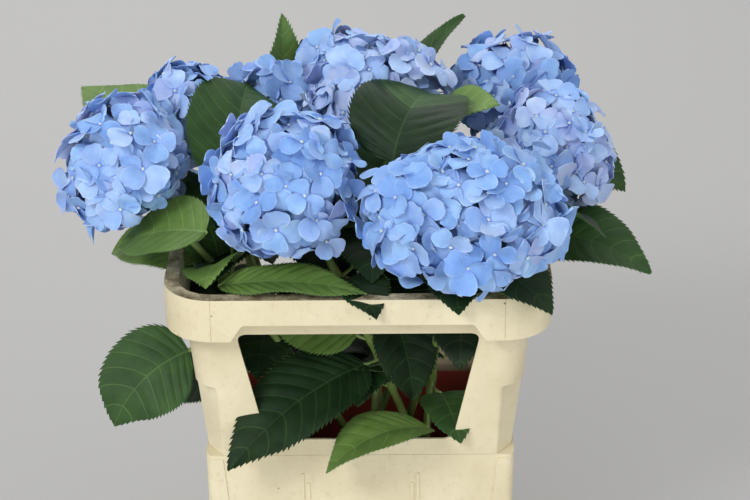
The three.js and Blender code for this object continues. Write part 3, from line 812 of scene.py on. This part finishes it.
def leaf_frame(stem, leaf, part):
    """A leaf's root, and the middle, across and normal of its blade at parts of its length."""
    height, compass, stalk, length, rise, droop, roll = leaf[:7]
    swing, stalk_rise = leaf[9:] or (0, rise)
    root = cane_axis(stem, part_at_height(stem, height))
    angles = (compass, compass + swing, stalk_rise, rise, droop, roll)
    leaving, turn, lean, start, bend, tilt = (radians(angle) for angle in angles)
    up = np.array([0.0, 0.0, 1.0])
    base = root + np.array([cos(leaving), sin(leaving), 0]) * stalk * cos(lean)
    base = base + up * stalk * sin(lean)
    out = np.array([cos(turn), sin(turn), 0])
    side = np.array([-sin(turn), cos(turn), 0])
    radius = length / bend
    angle = start - bend * np.asarray(part, dtype=float)[..., None]
    middle = base + out * radius * (sin(start) - np.sin(angle))
    middle = middle + up * radius * (np.cos(angle) - cos(start))
    flat = -out * np.sin(angle) + up * np.cos(angle)
    across = side * cos(tilt) + flat * sin(tilt)
    normal = flat * cos(tilt) - side * sin(tilt)
    return root, middle, across, normal


def random_row(seed):
    """The same row of numbers between 0 and 1 for the same seed, as in the CAD source."""
    state = seed
    while True:
        state = (state * 1664525 + 1013904223) % 4294967296
        yield state / 4294967296


def hidden_leaves(stem, number):
    """Rows for the leaves inside the collar that aren't in the table, where they stay inside."""
    random = random_row(SEEDS["hidden"] + number)
    turn = HIDDEN_TURN
    rows = []
    for k in range(HIDDEN["per_stem"] + MORE_HIDDEN):
        height = HIDDEN["lowest"] + HIDDEN["step"] * (k % HIDDEN["per_stem"] + next(random))
        compass = turn["stem"] * number + turn["leaf"] * k + turn["random"] * next(random)
        length = HIDDEN["length"] + HIDDEN_LONGER * next(random)
        angles = (HIDDEN["rise"], HIDDEN["droop"], 0)
        # Leaves inside the collar take the darkest green, as painted shade for the collar's shadow on
        # them.
        leaf = (height, compass, HIDDEN["stalk"], length, *angles, USUAL_WIDTH, DARK)
        if stays_inside(stem, leaf):
            rows.append(leaf)
    return rows


def stays_inside(stem, leaf):
    parts = np.array([0.2, 0.4, 0.6, 0.8, 1.0])
    _, middle, across, _ = leaf_frame(stem, leaf, parts)
    half = (leaf[7] * leaf[3] * blade_outline(parts) / 2)[:, None]
    edges = np.concatenate([middle - across * half, middle + across * half])
    flare = (edges[:, 2] - BUCKET["height"]) * INSIDE["flare"]
    reach = BUCKET["half_x"] + flare - INSIDE["clear"]
    shorter = BUCKET["half_x"] - BUCKET["half_y"]
    inside = (abs(edges[:, 0]) < reach) & (abs(edges[:, 1]) < reach - shorter)
    return bool(np.all(inside & (edges[:, 2] > BUCKET["height"])))


def make_blade(stem, leaf, random):
    """A leaf's blade: a closed thin shell whose rows run along its side veins to its teeth."""
    length, width, tone = leaf[3], leaf[7], leaf[8]
    larger = sqrt(length / USUAL_LENGTH)
    teeth = int(np.clip(round(length / TOOTH), FEWEST_TEETH, MOST_TEETH))
    rows = [
        ((tooth + place) / teeth, reach, tooth)
        for tooth in range(teeth) for place, reach in TOOTH_STEPS
    ]
    rows.append((1.0, 0.0, teeth))
    edge_part = np.array([row[0] for row in rows])[:, None]
    tooth_number = np.array([row[2] for row in rows])
    uneven = random.uniform(0.7, 1.25, teeth + 1)[tooth_number]
    # The teeth fade out at the foot and at the tip.
    envelope = np.clip(edge_part[:, 0] / 0.10, 0, 1) * np.clip((1 - edge_part[:, 0]) / 0.06, 0, 1)
    reach = np.array([row[1] for row in rows]) * uneven * envelope * TOOTH_REACH * larger

    # Columns run from the left edge to the right one, and rows sweep forward from the midrib.
    column = np.array([-s for s in BLADE_COLUMNS[::-1]] + list(BLADE_COLUMNS))[None, :]
    size = abs(column)
    mid_part = edge_part ** 1.8
    part = mid_part + (edge_part - mid_part) * size ** 1.3
    part = np.clip(part, 0, 1)
    toothed = np.where(size == 1.0, 1.0, np.where(size > 0.97, 0.5, 0.0))
    part = np.clip(part + toothed * reach[:, None] * 0.9 / length, 0, 1)

    half = width * length * blade_outline(part) / 2
    half = np.maximum(half, (STALK_RADIUS + 0.2) * (1 - part) + 0.35)
    rib = 1.0 * (1 - part) + 0.2
    inner = BLADE_COLUMNS[0]
    beside = np.clip((size - inner) / (1 - inner), 0, 1)
    lateral = rib + beside * (half - rib) + toothed * reach[:, None]

    # The blade bulges between its side veins, folds up from its midrib and ripples at its edges.
    half_gap = TEETH_TO_A_VEIN / 2
    exact = edge_part[:, 0] * teeth - 0.9
    from_vein = abs((exact + half_gap) % TEETH_TO_A_VEIN - half_gap)
    between_veins = (from_vein / half_gap)[:, None]
    quilt = between_veins ** 0.7 * np.minimum(beside * 4, 1) * (1 - size ** 8) * (1 - part ** 3)
    wave_left, wave_right, wave_count = random.uniform(0, 2 * pi, 3)
    wave = np.where(column < 0, wave_left, wave_right)
    ripple = np.sin(2 * pi * (1.3 + 0.25 * wave_count / 3) * part + wave) * size ** 2
    lift = FOLD * half * size ** 1.2 + QUILT * quilt * larger
    lift = lift + RIPPLE * length * ripple * np.minimum(part * 4, 1)

    # The ridge is what the midrib and the side veins add below the blade.
    _, middle, across, normal = leaf_frame(stem, leaf, part)
    surface = middle + across * (np.sign(column) * lateral)[..., None] + normal * lift[..., None]
    on_rib = (size == inner)
    ridge = np.where(on_rib, 1.3 * (1 - part) + 0.2, 0.0) + 0.3 * (1 - between_veins) * (1 - size)
    thick = np.where(size == 1.0, EDGE_THICKNESS, 1.0) * BLADE_THICKNESS
    top = surface + normal * (thick / 2)[..., None]
    under = surface - normal * (thick / 2 + ridge)[..., None]
    rings = np.concatenate([top, under[:, ::-1]], axis=1)
    count = rings.shape[1]
    sides, first, last = loft_faces(len(rings), count)
    columns = column.shape[1]
    # The green paints the leaf's shade and light; DARK_TO_MID paints a shaded foot and a lit tip.
    if tone == DARK_TO_MID:
        tones = np.where(edge_part[:-1] < TURN_PART, DARK, MID)
    else:
        tones = np.full((len(rings) - 1, 1), tone)
    slots = np.repeat(tones, count, axis=1)
    slots[:, columns - 1:] = UNDER_SLOT
    slots[:, columns // 2 - 1] += VEIN_SLOT
    is_tip = np.array([row[1] == 1.0 and row[2] % TEETH_TO_A_VEIN == 0 for row in rows[:-1]])
    slots[is_tip & (envelope[:-1] > 0), 1:columns // 2 - 1] += VEIN_SLOT
    slots[is_tip & (envelope[:-1] > 0), columns // 2:columns - 2] += VEIN_SLOT
    slots = np.concatenate([slots.ravel(), np.full(len(first) + len(last), MID)])
    return rings.reshape(-1, 3), np.concatenate([sides, first, last]), slots


def make_stalk(stem, leaf):
    """A leaf's stalk, from inside the cane to the foot of its blade."""
    root, base, _, _ = leaf_frame(stem, leaf, np.array([0.0]))
    part = np.linspace(0, 1, 9)[:, None]
    sag = 0.04 * leaf[2] * np.sin(pi * part)
    points = root + (base[0] - root) * part - np.array([0, 0, 1]) * sag
    radii = 3.3 - 1.6 * np.minimum(part[:, 0] * 2.5, 1) ** 0.6 + 0.4 * part[:, 0]
    return tube(points, radii, 8)


def make_cane(stem, leaves, end):
    """A cane with a swelling at each leaf, from the liner's floor into its bloom."""
    part = np.linspace(0, end, 70)
    points = cane_axis(stem, part)
    radii = CANE["foot"] + (CANE["neck"] - CANE["foot"]) * part
    for leaf in leaves:
        away = points[:, 2] - leaf[0]
        radii = radii + SWELLING["height"] * np.exp(-(away / SWELLING["reach"]) ** 2)
    grain = np.random.default_rng(SEEDS["grain"]).uniform(-GRAIN, GRAIN, (len(part), 12))
    return tube(points, radii[:, None] + grain, 12)


# ---- blooms
def unit(vectors):
    return vectors / np.linalg.norm(vectors, axis=-1, keepdims=True)


def beside(normal):
    """Two directions at right angles to a normal and to each other."""
    across = unit(np.cross(ASKEW, normal))
    return across, np.cross(normal, across)


def make_sepal(size, width, cup, curl, ruffle, phase):
    """One sepal in its own frame: X along it from the floret's middle, Z out of the bloom."""
    angle = np.linspace(0.16, pi - 0.08, SEPAL_ROWS)[:, None]
    part = (1 - np.cos(angle)) / 2
    column = np.array(SEPAL_COLUMNS)[None, :]
    half = size * width / 2 * np.sin(angle) ** 0.75 * (0.60 + 0.55 * part)
    bend = cup - curl * part
    along = size * part * np.cos(bend) + 0 * column
    rise = size * part * np.sin(bend)
    lateral = half * column
    dish = 0.10 * size * (abs(column) ** 2) * np.sin(angle)
    frill = ruffle * np.sin(3 * column + phase + 5 * part) * part * (0.3 + abs(column))
    forward = along + 1.2 - 0.05 * size * abs(column) * part
    points = np.stack([forward, lateral, rise + dish + frill], axis=-1)
    down =np.array([0, 0, SEPAL_THICKNESS])
    rings = np.concatenate([points, (points - down)[:, ::-1]], axis=1)
    return rings.reshape(-1, 3)


def sepal_faces():
    """A sepal's quads, and the kind of each: 0 for its face, 1 for its edge, whose paler tint paints light
    shining through it, 2 for its throat.
    """
    count = 2 * len(SEPAL_COLUMNS)
    sides, first, last = loft_faces(SEPAL_ROWS, count)
    kind = np.zeros((SEPAL_ROWS - 1, count), dtype=int)
    columns = len(SEPAL_COLUMNS)
    kind[:, 0] = kind[:, columns - 2] = kind[:, columns - 1] = kind[:, count - 1] = 1
    kind[-1, :] = 1
    kind[0, :] = 2
    ends = np.concatenate([np.full(len(first), 2), np.full(len(last), 1)])
    return np.concatenate([sides, first, last]), np.concatenate([kind.ravel(), ends])


SEPAL_FACES, SEPAL_KINDS = sepal_faces()


def floret_sepals(middle, normal, spin, size, random):
    """The four sepals of a floret, each one's left edge over its neighbour's right edge."""
    across, third = beside(normal)
    cup = radians(random.uniform(*SEPAL_ANGLES["cup"]))
    made = []
    for k in range(4):
        turn = spin + pi / 2 * k + random.uniform(-SEPAL["turn"], SEPAL["turn"])
        own = size * random.uniform(*SEPAL["size"])
        width = random.uniform(*SEPAL["width"])
        lift = cup + radians(random.uniform(*SEPAL_ANGLES["lift"]))
        curl = radians(random.uniform(*SEPAL_ANGLES["curl"]))
        ruffle = random.uniform(*SEPAL["ruffle"])
        points = make_sepal(own, width, lift, curl, ruffle, random.uniform(0, 6))
        roll = radians(random.uniform(*SEPAL_ANGLES["roll"]))
        y =points[:, 1] * cos(roll) - points[:, 2] * sin(roll)
        z = points[:, 1] * sin(roll) + points[:, 2] * cos(roll)
        x_axis = across * cos(turn) + third * sin(turn)
        y_axis = np.cross(normal, x_axis)
        made.append(middle + points[:, :1] * x_axis + y[:, None] * y_axis + z[:, None] * normal)
    return made


def make_bud(middle, normal, size):
    """The small four-lobed bud in the middle of a floret."""
    across, third = beside(normal)
    angle = np.linspace(0, 2 * pi, BUD["sides"], endpoint=False)[None, :, None]
    level = np.linspace(0.05, 0.97, BUD["rows"])[:, None, None]
    bulge = np.sin(pi * level)
    radius = size * bulge * (1 + BUD["lobe"] * np.cos(BUD["lobes"] * angle) * bulge)
    height = size * (1 - 2 * level) * 0.8 + 0.5 * size
    rings = middle + radius * (across * np.cos(angle) + third * np.sin(angle)) + height * normal
    sides, first, last = loft_faces(BUD["rows"], BUD["sides"])
    return rings.reshape(-1, 3), np.concatenate([sides, first, last])


def spread(stem, random):
    """Where a bloom's florets stand: a golden spiral over its ellipsoid, a little uneven."""
    radii = np.array(stem["radii"], dtype=float)
    mean = float(np.prod(radii)) ** (1 / 3)
    count = round(4 * pi * mean ** 2 / FLORET["spacing"])
    k = np.arange(count)
    height = 1 - (k + 0.5) / count * (1 - FLORET["lowest"])
    height = np.clip(height + random.uniform(-0.4, 0.4, count) / count, -1, 1)
    turn = GOLDEN * k + random.uniform(-0.12, 0.12, count)
    flat = np.sqrt(1 - height ** 2)
    out = np.stack([flat * np.cos(turn), flat * np.sin(turn), height], axis=-1)
    depth = FLORET["face"] - FLORET["depth"] * random.uniform(0, 1, count) ** 1.5
    middles = np.array(stem["bloom"]) + out * radii * depth[:, None]
    tilt = random.normal(0, FLORET["tilt"], (count, 3)) + np.array([0, 0, 0.12])
    normals = unit(unit(out / radii) + tilt)
    return out, middles, normals


def inside_ball(stem, point, margin):
    """Whether a point is inside a bloom's ellipsoid, made larger by a margin."""
    radii =np.array(stem["radii"]) + margin
    return float(np.sum(((point - np.array(stem["bloom"])) / radii) ** 2)) < 1


def crosses(points, tree):
    mine = BVHTree.FromPolygons(points.tolist(), SEPAL_FACES.tolist())
    return bool(mine.overlap(tree))


def grow_branches(stem, twigs):
    """Branches from a fork at the end of the cane, and where each one ends inside the bloom."""
    centre = np.array(stem["bloom"], dtype=float)
    radii = np.array(stem["radii"], dtype=float)
    fork = centre - np.array([0, 0, BRANCH["fork"]]) * radii
    heads = []
    for k in range(BRANCH["count"]):
        height = BRANCH["top"] - BRANCH["span"] * (k + 0.5) / BRANCH["count"]
        flat = sqrt(1 - height * height)
        aim = np.array([flat * cos(GOLDEN * k), flat * sin(GOLDEN * k), height])
        head = centre + aim * radii * BRANCH["reach"]
        heads.append(head)
        part = np.linspace(0, 1, 5)[:, None]
        sag = np.array([0, 0, -BRANCH["sag"]]) * np.sin(pi * part)
        points, faces = tube(fork + (head - fork) * part + sag, 1.9 - 0.6 * part[:, 0], 6)
        twigs.add(points, faces, BRANCH_SLOT)
    return np.array(heads)


def place_floret(middle, inward, normal, spin, size, random, leaves):
    """A floret sunk until it is clear of the leaves, or only those of its sepals that are."""
    state = random.bit_generator.state
    for step in range(SINKING["tries"]):
        random.bit_generator.state = state
        here = middle + inward * SINKING["step"] * step
        sepals = floret_sepals(here, normal, spin, size, random)
        clear = [points for points in sepals if not crosses(points, leaves)]
        if len(clear) == len(sepals):
            break
    return here, clear


def grow_bloom(stem, number, leaves, before):
    """A bloom's florets, buds and branches, kept out of the leaves and of earlier blooms."""
    random = np.random.default_rng(SEEDS["blooms"] + number)
    petals, buds, twigs = Gathered(), Gathered(), Gathered()
    out, middles, normals = spread(stem, random)
    radii = np.array(stem["radii"], dtype=float)
    heads = grow_branches(stem, twigs)
    palest = len(PETAL_TINTS) - 1
    for middle, normal, outward in zip(middles, normals, out):
        spin = random.uniform(0, pi)
        size = FLORET["radius"] * random.uniform(*FLORET_SIZE)
        shade = round(stem["hue"] * palest + random.normal(0, HUE_SPREAD))
        shade = int(np.clip(shade, 0, palest))
        if any(inside_ball(other, middle, BALL_GAP) for other in before):
            continue
        inward = -unit(outward * radii)
        here, sepals = place_floret(middle, inward, normal, spin, size, random, leaves)
        if len(sepals) < SINKING["fewest_sepals"]:
            continue
        for points in sepals:
            own = int(np.clip(shade + random.integers(-1, 2), 0, palest))
            slots = np.choose(SEPAL_KINDS, [own, EDGE_SLOT + own, THROAT_SLOT])
            petals.add(points, SEPAL_FACES, slots)
        points, faces = make_bud(here, normal, random.uniform(*BUD["size"]))
        buds.add(points, faces, 0)
        head = heads[np.argmin(np.linalg.norm(heads - here, axis=1))]
        part = np.linspace(0, 1, 4)[:, None]
        target = here - normal * 0.4
        points = head + (target - head) * part - normal * 3 * np.sin(pi * part) * (1 - part)
        points, faces = tube(points, 1.0 - 0.3 * part[:, 0], 5)
        twigs.add(points, faces, BRANCH_SLOT)
    return petals, buds, twigs


# ---- assembly
CREAM_SKIN = cream_plastic("cream_plastic")
finished(make_bucket(), "bucket_body", CREAM_SKIN, 0.9, ["bucket"])
finished(make_collar(), "collar_body", CREAM_SKIN, 0.9, ["collar"])
finished(make_liner(), "liner_body", red_plastic("red_plastic"), 0.6, ["liner"])

wood = []
all_leaves = []
blockers = Gathered()
for number, stem in enumerate(STEMS):
    random = np.random.default_rng(SEEDS["blades"] + number)
    rows = [*stem["leaves"], *stem.get("inner_leaves", []), *stem.get("window_leaves", [])]
    rows.extend([*hidden_leaves(stem, number), *stem.get("dark_filler_leaves", [])])
    blades, twigs = Gathered(), Gathered()
    smaller = -INTO_BLOOM * min(stem["radii"])
    end = last_part(lambda part: not inside_ball(stem, cane_axis(stem, part), smaller))
    points, faces = make_cane(stem, rows, end)
    twigs.add(points, faces, CANE_SLOT)
    for row in rows:
        points, faces, slots = make_blade(stem, row, random)
        blades.add(points, faces, slots)
        blockers.add(points, faces, slots)
        points, faces = make_stalk(stem, row)
        twigs.add(points, faces, STALK_SLOT)
    wood.append(twigs)
    all_leaves.append(blades)

leaf_tree = BVHTree.FromPolygons(
    np.concatenate(blockers.points).tolist(), np.concatenate(blockers.faces).tolist()
)
window_count = 0
for number, stem in enumerate(STEMS):
    petals, buds, twigs = grow_bloom(stem, number, leaf_tree, STEMS[:number])
    for points, faces, slots in zip(twigs.points, twigs.faces, twigs.slots):
        wood[number].add(points, faces - faces.min(), slots)
    name = number + 1
    leaves = all_leaves[number].piece(f"leaves_{name}", LEAF_SLOTS)
    cane = wood[number].piece(f"cane_{name}", TWIG_SLOTS)
    sepals = petals.piece(f"petals_{name}", PETAL_SLOTS)
    centres = buds.piece(f"buds_{name}", [BUD_SKIN])
    for piece in (leaves, cane, sepals, centres):
        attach(piece, BODY)
    window_leaves = stem.get("window_leaves", [])
    windows = [f"window_leaf_{window_count + k + 1}" for k in range(len(window_leaves))]
    window_count += len(windows)
    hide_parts(f"shoot_{name}", f"inner_shoot_{name}", *windows)
    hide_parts(f"stem_{name}")
    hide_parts(f"bloom_{name}")


# ---- studio
def make_stage():
    mesh = bpy.data.meshes.new("floor")
    reach = STAGE["reach"]
    corners = [(-reach, -reach, 0), (reach, -reach, 0), (reach, reach, 0), (-reach, reach, 0)]
    mesh.from_pydata(corners, [], [(0, 1, 2, 3)])
    floor = linked("floor", mesh)
    look = Look("floor_paint", 0.9)
    look.skin.inputs["Base Color"].default_value = STAGE["paint"]
    mesh.materials.append(look.material)


def add_light(name, place, target, size, power):
    """A rectangular light at a place in metres, turned to a target."""
    light = bpy.data.lights.new(name, "AREA")
    light.shape = "RECTANGLE"
    light.size, light.size_y = size
    light.energy = power
    lamp = linked(name, light)
    lamp.location = place
    back = unit(np.array(place, dtype=float) - np.array(target, dtype=float))
    side = unit(np.cross(np.array([0.0, 0.0, 1.0]), back))
    up = np.cross(back, side)
    lamp.rotation_euler = Matrix(np.stack([side, up, back], axis=1).tolist()).to_euler()


def make_camera():
    data = bpy.data.cameras.new("camera")
    data.sensor_width = SENSOR
    data.lens = LENS
    camera = linked("camera", data)
    turn, pitch, roll = (radians(angle) for angle in (CAMERA_TURN, CAMERA_PITCH, CAMERA_ROLL))
    flat = cos(pitch)
    forward = np.array([-sin(turn) * flat, cos(turn) * flat, -sin(pitch)])
    level =np.array([cos(turn), sin(turn), 0])
    above = np.cross(level, forward)
    right = level * cos(roll) - above * sin(roll)
    up = above * cos(roll) + level * sin(roll)
    camera.location = CAMERA_PLACE
    camera.rotation_euler = Matrix(np.stack([right, up, -forward], axis=1).tolist()).to_euler()
    bpy.context.scene.camera = camera


def make_world():
    world = bpy.data.worlds.new("studio")
    world.use_nodes = True
    background = world.node_tree.nodes["Background"]
    background.inputs["Color"].default_value = WORLD["colour"]
    background.inputs["Strength"].default_value = WORLD["strength"]
    bpy.context.scene.world = world
    bpy.context.scene.view_settings.view_transform = "Standard"


make_stage()
make_camera()
make_world()
add_light("key", (-1.5, -2.2, 2.6), (0, 0, 0.45), (1.0, 0.8), 48)
add_light("fill", (2.2, -1.6, 1.5), (0, 0, 0.40), (1.6, 1.6), 14)
add_light("low", (-0.5, -3.2, 0.8), (0, 0, 0.25), (1.8, 1.0), 34)
add_light("top", (-0.5, 2.4, 3.4), (-0.5, 2.4, 0), (2.4, 1.6), 78)
